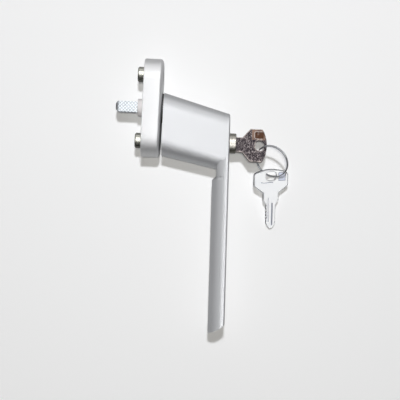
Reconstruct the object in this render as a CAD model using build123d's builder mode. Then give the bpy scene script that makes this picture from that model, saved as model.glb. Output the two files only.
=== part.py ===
# Lockable lever handle for a tilt and turn window, with its two keys, in millimetres.
# The origin is the centre of the rosette's back face, on the spindle's axis.
# +X points out of the sash into the room and +Z up; the lever hangs down.
import os
from math import cos, radians, sin, tan

from build123d import *

os.makedirs("parts", exist_ok=True)

# Rosette, the fixed base on the sash
rosette_height = 64.0
rosette_width = 30.0
rosette_depth = 12.2
rosette_edge = 1.2
rosette_back_edge = 0.4

# Fixing: two M5 screws through sleeves that sit in the sash's borings
fixing_spacing = 43.0
fixing_hole_d = 5.3
fixing_head_d = 10.4
sleeve_d = 10.0
sleeve_stand = 4.4
sleeve_seat = 5.0
sleeve_seat_d = 9.6
sleeve_rim = 0.8

# Square spindle and the nylon bush that centres it in the sash
spindle_size = 7.0
spindle_reach = 17.8
spindle_tip = 1.5
spindle_edge = 0.4
bush_d = 11.4
bush_stand = 3.5
bush_rim = 0.3

# Lever's hub: a spigot that turns in the rosette, held by a ring inside
spigot_d = 11.6
spigot_end = 1.7
spigot_flats = 10.0
spindle_pin_d = 1.2
ring_groove_x = 3.7
ring_groove_d = 10.2
retaining_ring_t = 0.8
retaining_ring_w = 1.7
retaining_ring_mouth = 6.1
hub_washer_t = 0.5
hub_washer_d = 16.0

# Detent: a notched disc on the spigot and two sprung balls in the rosette
detent_disc_d = 16.4
detent_disc_t = 2.3
detent_notch = 0.3
detent_ball_d = 3.0
detent_spring_length = 2.8
detent_spring_wire = 0.4
detent_spring_turns = 3
pocket_wall_x = 7.6
back_plate_t = 1.4
back_plate_width = 23.0
back_plate_corner = 5.0
back_plate_lap = 0.4
plate_screw_y = 8.6
plate_screw_z = 11.0
plate_screw_d = 2.4
plate_screw_head_d = 4.4
plate_screw_length = 5.5
screw_slot_share = 0.2

# Locking collar on the rosette, and the slide ring round it
collar_d = 15.2
collar_height = 5.0
collar_notch = 4.0
collar_ledge = 1.5
slide_ring_w = 1.7
slide_ring_seat = 0.4

# Lever: neck from the hub out to the front face, and grip down from there
neck_gap = 1.2
neck_width = 25.0
neck_top = 10.3
neck_bottom = -30.8
front_x = 56.7
front_top = -1.1
front_bottom = -39.0
front_lip = 1.6
grip_width = 20.0
grip_thickness = 10.6
grip_side = 1.5
grip_corner_turn = 50.0
grip_splay = 1.2
link_thickness = 8.0
link_end = 42.0
shoulder_length = 2.6
grip_length = 143.9
grip_end_rise = 6.2
grip_end_bulge = 0.6
lever_edge = 1.1
socket_depth = 14.6

# Lock: housing in the neck, plug with its head outside, wafers, cam and bolt
lock_z = -20.4
head_d = 13.0
head_stand = 4.3
head_sunk = 2.6
head_rim = 0.4
housing_length = 14.0
plug_d = 10.0
plug_end_d = 6.4
plug_end_length = 3.8
keyway_offset = 0.9
wafer_count = 5
wafer_pitch = 2.2
wafer_first = 3.6
wafer_t = 0.9
wafer_width = 5.0
broach = 0.4
chamber_d = 11.0
cam_eccentricity = 3.0
cam_pin_d = 2.5
cam_d = 10.0
cam_t = 2.5
cam_hub_d = 6.6
cam_hub_t = 2.4
tail_width = 4.4
tail_t = 1.8
clip_t = 0.8
clip_d = 9.0
clip_groove_d = 5.2
clip_mouth = 4.2
bolt_t = 2.2
bolt_width = 12.0
bolt_height = 8.0
bolt_nose = 3.7
bolt_entry = 1.3
slot_clear = 0.2
bolt_corner = 1.5
cam_half_turn = 45.0
cover_t = 1.2
cover_width = 20.6
cover_top = -7.0
cover_ring_gap = 0.4
cover_screw_y = 8.1
cover_screw_z = -13.0
cover_screw_d = 1.8
cover_screw_head_d = 3.4
cover_screw_length = 6.0
cylinder_pin_d = 2.0
cylinder_pin_entry = 0.5
tail_entry = 3.0

# Keys, as stamped from flat strip
key_length = 40.0
key_thickness = 2.0
bow_width = 23.0
bow_arc = 3.0
bow_straight_end = 11.0
key_neck_start = 16.0
key_neck_end = 21.0
key_neck_width = 10.3
key_neck_outside = 20.1
blade_start = 24.0
blade_width = 6.6
blade_tip = 3.4
blade_tip_width = 1.8
key_hole_length = 6.0
key_hole_width = 7.2
key_hole_s = 4.5
key_hole_round = 2.6
bow_round = 1.6
key_twist = 20.0
key_seat_gap = 0.3
key_groove_w = 0.9
key_groove_depth = 0.4
key_grooves = [(19.0, 35.5, -1.7), (22.5, 38.0, 0.8)]
bitting = [0.5, 0.3, 0.6, 0.35, 0.55]
bitting_flat = 0.6
bitting_mouth = 1.8
pad_depth = 0.3
pad_s = 5.0
pad_y = 7.2
pad_length = 5.6
pad_width = 4.6
pad_round = 1.0

# Split ring that joins the keys, as it lies in the photograph
ring_mean_d = 22.2
ring_wire_d = 0.8
ring_wire_sides = 8
ring_turn_pitch = 0.77
ring_pass_s = 4.2
ring_pass_y = 2.0
ring_lean = 40.0
ring_end_angle = 150.0
ring_end_step = 25.0
ring_end_gap = 0.6
ring_turn = 43.8
spare_round = 40.0
spare_lean = 15.0
spare_roll = 10.0
spare_swing = 2.9
spare_pass_s = 4.9
spare_pass_y = 0.4

# Clearances
running = 0.1
sliding = 0.1
loose = 0.3
thread_clear = 0.03

# Places worked out from the values above
neck_x = rosette_depth + neck_gap
fixing_z = fixing_spacing / 2
collar_end = rosette_depth + collar_height
detent_ball_r = detent_ball_d / 2
detent_ball_z = detent_disc_d / 2 + running + detent_ball_r
spring_end_z = detent_ball_z + detent_ball_r + detent_spring_length + 2 * running
disc_x = ring_groove_x + retaining_ring_t + 2 * running
disc_mid_x = disc_x + detent_disc_t / 2
detent_notch_r = detent_ball_z - detent_disc_d / 2 + detent_notch
spindle_pin_x = (spigot_end + ring_groove_x) / 2
socket_end = neck_x + socket_depth
slide_ring_inner = collar_d / 2 + loose + running
slide_ring_outer = slide_ring_inner + slide_ring_w
pocket_r = detent_disc_d / 2 + 2 * loose
back_plate_height = 2 * (spring_end_z + back_plate_lap)
head_end = front_x - lock_z * tan(radians(grip_splay)) + head_stand
head_start = head_end - head_stand - head_sunk
housing_end = head_start - running
housing_start = housing_end - housing_length
bolt_x = neck_x + cover_t + running
pocket_end = bolt_x + bolt_t + loose
cam_x = pocket_end + running
key_x = head_end + key_neck_outside
key_neck_inside = blade_start - key_neck_outside + key_seat_gap
cam_angle = radians(180 + cam_half_turn - key_twist)
bolt_travel = 2 * cam_eccentricity * sin(radians(cam_half_turn))
bolt_rate = bolt_travel / radians(2 * cam_half_turn)
bolt_z = lock_z - bolt_rate * radians(cam_half_turn - key_twist)
bolt_low = bolt_z - bolt_rate * radians(key_twist)
bolt_tip_z = bolt_z - bolt_low - bolt_travel + bolt_entry - collar_d / 2
pocket_top = bolt_low + bolt_travel + bolt_height / 2 + loose
pocket_bottom = bolt_low - bolt_height / 2 - loose
cover_centre_z = neck_bottom + neck_width / 2
neck_slope_bottom = (neck_bottom - front_bottom) / (front_x - neck_x)
cylinder_pin_x = (housing_start + housing_end) / 2
cylinder_pin_top = lock_z - head_d / 2 + cylinder_pin_entry
cylinder_pin_bottom = (
    neck_bottom - neck_slope_bottom * (cylinder_pin_x - neck_x) + cylinder_pin_entry)
wafer_places = [housing_start + wafer_first + i * wafer_pitch for i in range(wafer_count)]

face_normal = Vector(cos(radians(grip_splay)), 0, sin(radians(grip_splay)))
grip_dir = Vector(sin(radians(grip_splay)), 0, -cos(radians(grip_splay)))
face_plane = Plane((front_x, 0, 0), x_dir=(0, 1, 0), z_dir=face_normal)


def across(x, z=0.0):
    """Plane across the spindle's direction: its x runs along Y and its y up."""
    return Plane((x, 0, z), x_dir=(0, 1, 0), z_dir=(1, 0, 0))


def grip_plane(distance):
    """Plane across the grip, this far down the lever; its x runs out to the face."""
    return Plane(face_plane.origin + grip_dir * distance, x_dir=face_normal, z_dir=grip_dir)


def save(part, name):
    """Label a finished piece and write it."""
    part.label = name
    export_step(part, f"parts/{name}.step")


def cover_outline(grow):
    """Outline of the cover plate: the neck's rounded foot, hollowed round the collar."""
    with BuildSketch() as outline:
        with Locations((0, cover_centre_z)):
            Circle(cover_width / 2 + grow)
        with Locations((0, (cover_top + cover_centre_z) / 2)):
            Rectangle(cover_width + 2 * grow, cover_top - cover_centre_z + 2 * grow)
        Circle(collar_d / 2 + loose + cover_ring_gap - grow, mode=Mode.SUBTRACT)
    return outline.sketch


def countersunk_screw(head_width, shank_width, length, plane):
    """Countersunk screw with a slotted head, whose face lies on the plane."""
    slot_width = screw_slot_share * head_width
    cone = (head_width - shank_width) / 2
    with BuildPart() as screw:
        with BuildSketch(Plane(plane.origin, x_dir=plane.x_dir, z_dir=-plane.y_dir)):
            with BuildLine():
                Polyline(
                    (0, 0), (head_width / 2, 0), (shank_width / 2, -cone),
                    (shank_width / 2, -length), (0, -length), close=True)
            make_face()
        revolve(axis=Axis(plane.origin, plane.z_dir))
        with BuildSketch(plane):
            Rectangle(head_width, slot_width)
        extrude(amount=-slot_width, mode=Mode.SUBTRACT)
    return screw.part


def coil_spring(mean_r, length, turns, wire, plane):
    """Compression spring of square wire that stands on the plane."""
    with BuildPart() as spring:
        with BuildLine():
            coil = Helix((length - wire) / turns, length - wire, mean_r, center=(0, 0, wire / 2))
        with BuildSketch(Plane(coil @ 0, x_dir=(1, 0, 0), z_dir=coil % 0)):
            Rectangle(wire, wire)
        sweep(path=coil, is_frenet=True)
    return spring.part.moved(plane.location)


# Rosette: a cast stadium with the castellated locking collar on its front,
# and a pocket behind for the detent
with BuildPart() as rosette:
    with BuildSketch(across(0)):
        SlotOverall(rosette_height, rosette_width, rotation=90)
    extrude(amount=rosette_depth)
    fillet(rosette.faces().sort_by(Axis.X)[-1].edges(), radius=rosette_edge)
    chamfer(rosette.faces().sort_by(Axis.X)[0].edges(), length=rosette_back_edge)
    with BuildSketch(across(0)):
        Circle(collar_d / 2)
    extrude(amount=collar_end)
    with BuildSketch(across(rosette_depth + collar_ledge)):
        Rectangle(2 * collar_d, collar_notch)
        Rectangle(collar_notch, 2 * collar_d)
    extrude(amount=collar_height, mode=Mode.SUBTRACT)
    with BuildSketch(across(rosette_depth)):
        Circle(slide_ring_outer + running)
        Circle(slide_ring_inner - running, mode=Mode.SUBTRACT)
    extrude(amount=-slide_ring_seat, mode=Mode.SUBTRACT)
    with BuildSketch(across(0)):
        RectangleRounded(back_plate_width, back_plate_height, back_plate_corner)
    extrude(amount=back_plate_t, mode=Mode.SUBTRACT)
    with BuildSketch(across(back_plate_t)):
        Circle(pocket_r)
        Rectangle(detent_ball_d + 2 * running, 2 * spring_end_z)
    extrude(amount=pocket_wall_x - back_plate_t, mode=Mode.SUBTRACT)
    with BuildSketch(across(0)):
        Circle(spigot_d / 2 + running)
    extrude(amount=collar_end, mode=Mode.SUBTRACT)
    with Locations(across(rosette_depth)):
        with GridLocations(0, fixing_spacing, 1, 2):
            CounterSinkHole(fixing_hole_d / 2, fixing_head_d / 2, depth=rosette_depth)
    for side in (1, -1):
        with Locations(Plane((0, 0, side * fixing_z), z_dir=(-1, 0, 0))):
            CounterSinkHole(
                sleeve_seat_d / 2, (sleeve_d + running) / 2, depth=sleeve_seat,
                counter_sink_angle=90)
    with BuildSketch(across(0)):
        with Locations((plate_screw_y, plate_screw_z), (-plate_screw_y, -plate_screw_z)):
            Circle(plate_screw_d / 2 + thread_clear)
    extrude(amount=plate_screw_length + loose, mode=Mode.SUBTRACT)
save(rosette.part, "rosette")

# Back plate, let in flush behind the pocket, and its two screws
with BuildPart() as back_plate:
    with BuildSketch(across(0)):
        RectangleRounded(
            back_plate_width - running, back_plate_height - running, back_plate_corner)
        Circle(bush_d / 2 + 2 * running, mode=Mode.SUBTRACT)
    extrude(amount=back_plate_t)
    for side in (1, -1):
        with Locations(Plane((0, side * plate_screw_y, side * plate_screw_z), z_dir=(-1, 0, 0))):
            CounterSinkHole(
                plate_screw_d / 2 + thread_clear, plate_screw_head_d / 2 + thread_clear,
                depth=back_plate_t)
save(back_plate.part, "back_plate")

plate_screws = [
    countersunk_screw(
        plate_screw_head_d, plate_screw_d, plate_screw_length,
        Plane((0, side * plate_screw_y, side * plate_screw_z), z_dir=(-1, 0, 0)))
    for side in (1, -1)
]
save(Compound(children=plate_screws), "plate_screws")

# Sleeves round the fixing screws, standing out behind the rosette
for name, side in (("upper_sleeve", 1), ("lower_sleeve", -1)):
    with BuildPart() as sleeve:
        with BuildSketch(across(-sleeve_stand, side * fixing_z)):
            Circle(sleeve_d / 2)
        extrude(amount=sleeve_stand)
        chamfer(sleeve.faces().sort_by(Axis.X)[0].edges(), length=sleeve_rim)
        with BuildSketch(across(0, side * fixing_z)):
            Circle(sleeve_seat_d / 2)
        extrude(amount=sleeve_seat)
        with BuildSketch(across(-sleeve_stand, side * fixing_z)):
            Circle(fixing_hole_d / 2)
        extrude(amount=sleeve_stand + sleeve_seat, mode=Mode.SUBTRACT)
    save(sleeve.part, name)

# Detent: two balls pushed towards the disc by springs along the pocket's channel
for name, side in (("upper", 1), ("lower", -1)):
    with BuildPart() as ball:
        with Locations((disc_mid_x, 0, side * detent_ball_z)):
            Sphere(detent_ball_d / 2)
    save(ball.part, f"detent_ball_{name}")
    seat = Plane(
        (disc_mid_x, 0, side * (detent_ball_z + detent_ball_d / 2 + thread_clear)),
        x_dir=(1, 0, 0), z_dir=(0, 0, side))
    spring_r = detent_ball_d / 2 - detent_spring_wire
    spring = coil_spring(
        spring_r, detent_spring_length, detent_spring_turns, detent_spring_wire, seat)
    save(spring, f"detent_spring_{name}")

with BuildPart() as detent_disc:
    with BuildSketch(across(disc_x)):
        Circle(detent_disc_d / 2)
        with PolarLocations(detent_ball_z, 4):
            Circle(detent_notch_r, mode=Mode.SUBTRACT)
        with BuildSketch(across(disc_x), mode=Mode.SUBTRACT):
            Circle(spigot_d / 2 + thread_clear)
            Rectangle(
                spigot_flats + 2 * thread_clear, spigot_d + 1, mode=Mode.INTERSECT)
    extrude(amount=detent_disc_t)
save(detent_disc.part, "detent_disc")

with BuildPart() as hub_washer:
    with BuildSketch(across(disc_x + detent_disc_t)):
        Circle(hub_washer_d / 2)
        Circle(spigot_d / 2 + running, mode=Mode.SUBTRACT)
    extrude(amount=hub_washer_t)
save(hub_washer.part, "hub_washer")

with BuildPart() as retaining_ring:
    with BuildSketch(across(ring_groove_x + running)):
        Circle(ring_groove_d / 2 + thread_clear + retaining_ring_w)
        Circle(ring_groove_d / 2 + thread_clear, mode=Mode.SUBTRACT)
        with Locations((0, -ring_groove_d / 2)):
            Rectangle(retaining_ring_mouth, ring_groove_d, mode=Mode.SUBTRACT)
    extrude(amount=retaining_ring_t)
save(retaining_ring.part, "retaining_ring")

# Slide ring between the rosette and the neck
with BuildPart() as slide_ring:
    with BuildSketch(across(rosette_depth - slide_ring_seat)):
        Circle(slide_ring_outer)
        Circle(slide_ring_inner, mode=Mode.SUBTRACT)
    extrude(amount=slide_ring_seat + neck_gap - running)
save(slide_ring.part, "slide_ring")

# Spindle, with the nylon bush behind it and the pin that holds it in the spigot
with BuildPart() as spindle:
    with BuildSketch(across(-spindle_reach)):
        Rectangle(spindle_size, spindle_size)
    extrude(amount=spindle_reach + socket_end - running)
    chamfer(spindle.faces().sort_by(Axis.X)[0].edges(), length=spindle_tip)
    fillet(spindle.edges().filter_by(Axis.X), radius=spindle_edge)
    with BuildSketch(Plane((spindle_pin_x, 0, 0), z_dir=(0, 0, 1))):
        Circle(spindle_pin_d / 2 + thread_clear)
    extrude(amount=spindle_size, both=True, mode=Mode.SUBTRACT)
save(spindle.part, "spindle")

with BuildPart() as spindle_pin:
    with BuildSketch(Plane((spindle_pin_x, 0, 0), z_dir=(0, 0, 1))):
        Circle(spindle_pin_d / 2)
    extrude(amount=spigot_d / 2 - loose, both=True)
save(spindle_pin.part, "spindle_pin")

with BuildPart() as spindle_bush:
    with BuildSketch(across(-bush_stand)):
        Circle(bush_d / 2)
    extrude(amount=bush_stand + spigot_end - running)
    chamfer(spindle_bush.faces().sort_by(Axis.X)[0].edges(), length=bush_rim)
    with BuildSketch(across(-bush_stand)):
        Rectangle(spindle_size + 2 * thread_clear, spindle_size + 2 * thread_clear)
    extrude(amount=2 * bush_stand + spigot_end, mode=Mode.SUBTRACT)
save(spindle_bush.part, "spindle_bush")


def d_section(thickness):
    """Grip's section: flat towards the room, three tangent arcs towards the sash."""
    half = grip_width / 2
    turn = radians(grip_corner_turn)
    slope = tan(radians(45) - turn / 2)
    corner_r = (thickness - grip_side - half * slope) / (sin(turn) - slope * (1 - cos(turn)))
    meet_x = -grip_side - corner_r * sin(turn)
    meet_y = half - corner_r * (1 - cos(turn))
    with BuildSketch() as section:
        with BuildLine():
            Polyline((-grip_side, -half), (0, -half), (0, half), (-grip_side, half))
            for side in (1, -1):
                TangentArc(
                    (-grip_side, side * half), (meet_x, side * meet_y), tangent=(-1, 0))
            ThreePointArc((meet_x, meet_y), (-thickness, 0), (meet_x, -meet_y))
        make_face()
    return section.sketch


# Lever: neck, grip and hub spigot in one casting, hollowed for the lock
with BuildPart() as lever:
    with BuildSketch(across(neck_x)):
        with Locations((0, (neck_top + neck_bottom) / 2)):
            SlotOverall(neck_top - neck_bottom, neck_width, rotation=90)
    with BuildSketch(face_plane.offset(-front_lip)):
        with Locations((0, (front_top + front_bottom) / 2)):
            SlotOverall(front_top - front_bottom, grip_width, rotation=90)
    loft(ruled=True)
    with BuildSketch(face_plane):
        with Locations((0, (front_top + front_bottom) / 2)):
            SlotOverall(front_top - front_bottom, grip_width, rotation=90)
    extrude(amount=-front_lip)
    # The thinner link under the neck, the shoulder and the grip itself
    with BuildSketch(grip_plane(-lock_z)):
        add(d_section(link_thickness))
    extrude(amount=link_end + lock_z)
    with BuildSketch(grip_plane(link_end)):
        add(d_section(link_thickness))
    with BuildSketch(grip_plane(link_end + shoulder_length)):
        add(d_section(grip_thickness))
    loft(ruled=True)
    with BuildSketch(grip_plane(link_end + shoulder_length)):
        add(d_section(grip_thickness))
    extrude(amount=grip_length - link_end - shoulder_length)
    # Slanted, slightly bulging end
    inner_end = grip_plane(grip_length).from_local_coords((-grip_thickness, 0, 0))
    outer_end = grip_plane(grip_length - grip_end_rise).from_local_coords((0, 0, 0))
    chord = outer_end - inner_end
    bulge = Vector(chord.Z, 0, -chord.X).normalized() * grip_end_bulge
    with BuildSketch(Plane.XZ):
        with BuildLine():
            a = (inner_end.X - chord.X, inner_end.Z - chord.Z)
            b = (outer_end.X + chord.X, outer_end.Z + chord.Z)
            middle = (inner_end + outer_end) / 2 + bulge
            bow = ThreePointArc(
                (inner_end.X, inner_end.Z), (middle.X, middle.Z), (outer_end.X, outer_end.Z))
            Polyline(
                bow @ 1, b, (b[0], b[1] - grip_length), (a[0], b[1] - grip_length), a, bow @ 0)
        make_face()
    extrude(amount=grip_width, both=True, mode=Mode.SUBTRACT)
    front_face = lever.faces().sort_by(Axis.X)[-1]
    fillet(front_face.edges(), radius=lever_edge)
    # Room round the collar, then the spigot with its flats and ring groove
    with BuildSketch(across(neck_x)):
        Circle(collar_d / 2 + loose)
    extrude(amount=collar_height - neck_gap + loose, mode=Mode.SUBTRACT)
    with BuildSketch(across(spigot_end)):
        Circle(spigot_d / 2)
    extrude(amount=socket_end - spigot_end)
    with BuildSketch(across(spigot_end)):
        Rectangle(2 * spigot_d, 2 * spigot_d)
        Rectangle(spigot_flats, 2 * spigot_d, mode=Mode.SUBTRACT)
    extrude(amount=disc_x + detent_disc_t - spigot_end, mode=Mode.SUBTRACT)
    with BuildSketch(across(ring_groove_x)):
        Circle(spigot_d)
        Circle(ring_groove_d / 2, mode=Mode.SUBTRACT)
    extrude(amount=disc_x - ring_groove_x, mode=Mode.SUBTRACT)
    with BuildSketch(across(spigot_end)):
        Rectangle(spindle_size + 2 * thread_clear, spindle_size + 2 * thread_clear)
    extrude(amount=socket_end - spigot_end, mode=Mode.SUBTRACT)
    with BuildSketch(Plane((spindle_pin_x, 0, 0), z_dir=(0, 0, 1))):
        Circle(spindle_pin_d / 2 + thread_clear)
    extrude(amount=spigot_d, both=True, mode=Mode.SUBTRACT)
    # Bolt pocket with its channel towards the collar, under the cover plate
    with BuildSketch(across(neck_x)):
        add(cover_outline(sliding / 2))
    extrude(amount=cover_t, mode=Mode.SUBTRACT)
    with BuildSketch(across(neck_x)):
        with Locations((0, (pocket_top + pocket_bottom) / 2)):
            RectangleRounded(
                bolt_width + 2 * sliding, pocket_top - pocket_bottom, bolt_corner / 2)
        with Locations((0, pocket_top / 2)):
            Rectangle(bolt_nose + 2 * sliding, -pocket_top + bolt_corner)
        Circle(collar_d / 2, mode=Mode.SUBTRACT)
    extrude(amount=pocket_end - neck_x, mode=Mode.SUBTRACT)
    with BuildSketch(across(neck_x)):
        with Locations((cover_screw_y, cover_screw_z), (-cover_screw_y, cover_screw_z)):
            Circle(cover_screw_d / 2 + thread_clear)
    extrude(amount=cover_screw_length + loose, mode=Mode.SUBTRACT)
    # Bores for the cam, the lock's housing and the plug's head
    with BuildSketch(across(bolt_x, lock_z)):
        Circle(chamber_d / 2)
    extrude(amount=housing_start - bolt_x, mode=Mode.SUBTRACT)
    with BuildSketch(across(housing_start, lock_z)):
        Circle(head_d / 2 + thread_clear)
    extrude(amount=housing_length, mode=Mode.SUBTRACT)
    with BuildSketch(across(housing_end, lock_z)):
        Circle(head_d / 2 + 2 * running)
    extrude(amount=head_sunk + head_stand, mode=Mode.SUBTRACT)
    with BuildSketch(Plane((cylinder_pin_x, 0, cylinder_pin_top), z_dir=(0, 0, -1))):
        Circle(cylinder_pin_d / 2 + thread_clear)
    extrude(amount=neck_width, mode=Mode.SUBTRACT)
save(lever.part, "lever")

# Cover plate over the bolt, its two screws and the bolt itself
with BuildPart() as lock_cover_plate:
    with BuildSketch(across(neck_x)):
        add(cover_outline(0))
        with Locations((cover_screw_y, cover_screw_z), (-cover_screw_y, cover_screw_z)):
            Circle(cover_screw_d / 2 + thread_clear, mode=Mode.SUBTRACT)
    extrude(amount=cover_t)
    for side in (1, -1):
        with Locations(Plane((neck_x, side * cover_screw_y, cover_screw_z), z_dir=(-1, 0, 0))):
            CounterSinkHole(
                cover_screw_d / 2 + thread_clear, cover_screw_head_d / 2 + thread_clear,
                depth=cover_t)
save(lock_cover_plate.part, "lock_cover_plate")

cover_screws = [
    countersunk_screw(
        cover_screw_head_d, cover_screw_d, cover_screw_length,
        Plane((neck_x, side * cover_screw_y, cover_screw_z), z_dir=(-1, 0, 0)))
    for side in (1, -1)
]
save(Compound(children=cover_screws), "cover_screws")

with BuildPart() as lock_bolt:
    with BuildSketch(across(bolt_x)):
        with Locations((0, bolt_z)):
            RectangleRounded(bolt_width, bolt_height, bolt_corner)
        with Locations((0, (bolt_z + bolt_tip_z) / 2)):
            Rectangle(bolt_nose, bolt_tip_z - bolt_z)
        with Locations((0, bolt_z)):
            SlotOverall(
                2 * cam_eccentricity + cam_pin_d + 2 * slot_clear,
                cam_pin_d + 2 * slot_clear, mode=Mode.SUBTRACT)
    extrude(amount=bolt_t)
    chamfer(
        lock_bolt.faces().sort_by(Axis.Z)[-1].edges().filter_by(Axis.X), length=bolt_nose / 10)
save(lock_bolt.part, "lock_bolt")

with BuildPart() as cylinder_pin:
    with BuildSketch(Plane((cylinder_pin_x, 0, cylinder_pin_top), z_dir=(0, 0, -1))):
        Circle(cylinder_pin_d / 2)
    extrude(amount=cylinder_pin_top - cylinder_pin_bottom)
save(cylinder_pin.part, "cylinder_pin")

# Lock cylinder: the housing stays in the neck, the plug turns in it
with BuildPart() as cylinder_housing:
    with BuildSketch(across(housing_start, lock_z)):
        Circle(head_d / 2)
        Circle(plug_d / 2 + running / 2, mode=Mode.SUBTRACT)
        Rectangle(wafer_width + 2 * running, plug_d + 2 * broach, mode=Mode.SUBTRACT)
    extrude(amount=housing_length)
    with BuildSketch(Plane((cylinder_pin_x, 0, cylinder_pin_top), z_dir=(0, 0, -1))):
        Circle(cylinder_pin_d / 2 + thread_clear)
    extrude(amount=head_d, mode=Mode.SUBTRACT)
save(cylinder_housing.part, "cylinder_housing")


# The key's own plane: its origin is the middle of the bow's outer edge, x runs
# towards the tip and y down across the bow, and the normal faces the viewer
key_normal = Vector(0, -1, 0).rotate(Axis.X, -key_twist)
key_across = Vector(0, 0, -1).rotate(Axis.X, -key_twist)
key_plane = Plane(
    Vector(key_x, 0, lock_z) + key_across * keyway_offset, x_dir=(-1, 0, 0), z_dir=key_normal)


def plug_slab(length, height, thickness, start, offset):
    """Cut a slot in the plug that runs along the key from start towards the room."""
    plane = Plane(
        Vector(start, 0, lock_z) + key_across * offset, x_dir=(-1, 0, 0), z_dir=key_normal)
    with BuildPart() as slab:
        with BuildSketch(plane):
            with Locations((-length / 2, 0)):
                Rectangle(length, height)
        extrude(amount=thickness / 2, both=True)
    return slab.part


plug_end = housing_start + running
plug_back = plug_end - plug_end_length
clip_x = housing_start - running - clip_t
keyway_end = key_x - key_length - key_seat_gap
keyway_height = blade_width + 4 * running
keyway_width = key_thickness + 4 * running
with BuildPart() as plug:
    with BuildSketch(across(head_start, lock_z)):
        Circle(head_d / 2)
    extrude(amount=head_end - head_start)
    chamfer(plug.faces().sort_by(Axis.X)[-1].edges(), length=head_rim)
    with BuildSketch(across(plug_end, lock_z)):
        Circle(plug_d / 2)
    extrude(amount=head_start - plug_end)
    with BuildSketch(across(plug_back, lock_z)):
        Circle(plug_end_d / 2)
    extrude(amount=plug_end_length)
    with BuildSketch(across(clip_x - running / 2, lock_z)):
        Circle(plug_d)
        Circle(clip_groove_d / 2, mode=Mode.SUBTRACT)
    extrude(amount=clip_t + running, mode=Mode.SUBTRACT)
    add(
        plug_slab(head_end - keyway_end, keyway_height, keyway_width, keyway_end, keyway_offset),
        mode=Mode.SUBTRACT)
    add(
        plug_slab(
            key_neck_inside, key_neck_width + 4 * running, keyway_width,
            head_end - key_neck_inside, keyway_offset),
        mode=Mode.SUBTRACT)
    for x in wafer_places:
        add(
            plug_slab(wafer_t + running, plug_d + 1, wafer_width + running, x - running / 2, 0),
            mode=Mode.SUBTRACT)
    add(
        plug_slab(tail_entry, tail_width + running, tail_t + running, plug_back, 0),
        mode=Mode.SUBTRACT)
save(plug.part, "plug")

# Wafers: discs trimmed to a band, each with a window for the blade
for number, x in enumerate(wafer_places, start=1):
    with BuildPart() as wafer:
        with BuildSketch(across(x, lock_z)):
            Circle(plug_d / 2 - running / 2)
        extrude(amount=wafer_t)
        add(plug_slab(wafer_t, plug_d, wafer_width, x, 0), mode=Mode.INTERSECT)
        add(
            plug_slab(wafer_t, keyway_height, keyway_width, x, keyway_offset),
            mode=Mode.SUBTRACT)
    save(wafer.part, f"wafer_{number}")

with BuildPart() as cam_clip:
    with BuildSketch(across(clip_x, lock_z)):
        Circle(clip_d / 2)
        Circle(clip_groove_d / 2 + thread_clear, mode=Mode.SUBTRACT)
        with Locations((0, -clip_groove_d / 2)):
            Rectangle(clip_mouth, clip_d, mode=Mode.SUBTRACT)
    extrude(amount=clip_t)
save(cam_clip.part, "cam_clip")

# Tail bar from the plug to the cam, whose eccentric pin moves the bolt
tail_start = cam_x + cam_t / 2
with BuildPart() as tail_bar:
    add(plug_slab(plug_back + tail_entry - running - tail_start, tail_width, tail_t, tail_start, 0))
save(tail_bar.part, "tail_bar")

with BuildPart() as lock_cam:
    with BuildSketch(across(cam_x, lock_z)):
        Circle(cam_d / 2)
    extrude(amount=cam_t)
    with BuildSketch(across(cam_x, lock_z)):
        Circle(cam_hub_d / 2)
    extrude(amount=cam_t + cam_hub_t)
    with BuildSketch(across(bolt_x + running, lock_z)):
        with Locations((cam_eccentricity * cos(cam_angle), cam_eccentricity * sin(cam_angle))):
            Circle(cam_pin_d / 2)
    extrude(amount=cam_x - bolt_x - running)
    add(
        plug_slab(
            cam_t + cam_hub_t, tail_width + running, tail_t + running, tail_start - running / 2, 0),
        mode=Mode.SUBTRACT)
save(lock_cam.part, "lock_cam")


def cut_key(plane):
    """Flat key on its plane, with bow, neck, grooved blade and bitting."""
    half_bow = bow_width / 2
    with BuildPart() as key:
        with BuildSketch(plane) as blank:
            with BuildLine():
                top = [
                    (bow_arc, -half_bow), (bow_straight_end, -half_bow),
                    (key_neck_start, -key_neck_width / 2), (key_neck_end, -key_neck_width / 2),
                    (blade_start, -blade_width / 2), (key_length - blade_tip, -blade_width / 2),
                    (key_length, -blade_tip_width / 2)]
                bottom = [(x, -y) for x, y in reversed(top)]
                Polyline(top + bottom)
                ThreePointArc(bottom[-1], (0, 0), top[0])
            make_face()
            by_width = blank.vertices().sort_by(
                lambda corner: abs(plane.to_local_coords(Vector(corner)).Y))
            fillet(by_width[-4:], radius=bow_round)
            with Locations((key_hole_s, 0)):
                RectangleRounded(
                    key_hole_length, key_hole_width, key_hole_round, mode=Mode.SUBTRACT)
            for x, depth in zip(wafer_places, bitting):
                place = key_x - x - wafer_t / 2
                for side in (1, -1):
                    with Locations((place, side * (blade_width / 2 - depth))):
                        Polygon(
                            (-bitting_mouth / 2, side * depth), (-bitting_flat / 2, 0),
                            (bitting_flat / 2, 0), (bitting_mouth / 2, side * depth),
                            (bitting_mouth / 2, side * blade_width),
                            (-bitting_mouth / 2, side * blade_width), align=None,
                            mode=Mode.SUBTRACT)
        extrude(amount=key_thickness / 2, both=True)
        for face in (1, -1):
            with BuildSketch(plane.offset(face * key_thickness / 2)):
                for start, end, y in key_grooves:
                    with Locations(((start + end) / 2, y)):
                        SlotOverall(end - start, key_groove_w)
            extrude(amount=-face * key_groove_depth, mode=Mode.SUBTRACT)
            with BuildSketch(plane.offset(face * key_thickness / 2)):
                with Locations((pad_s, -pad_y)):
                    RectangleRounded(pad_length, pad_width, pad_round)
            extrude(amount=-face * pad_depth, mode=Mode.SUBTRACT)
    return key.part


save(cut_key(key_plane), "key")

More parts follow.
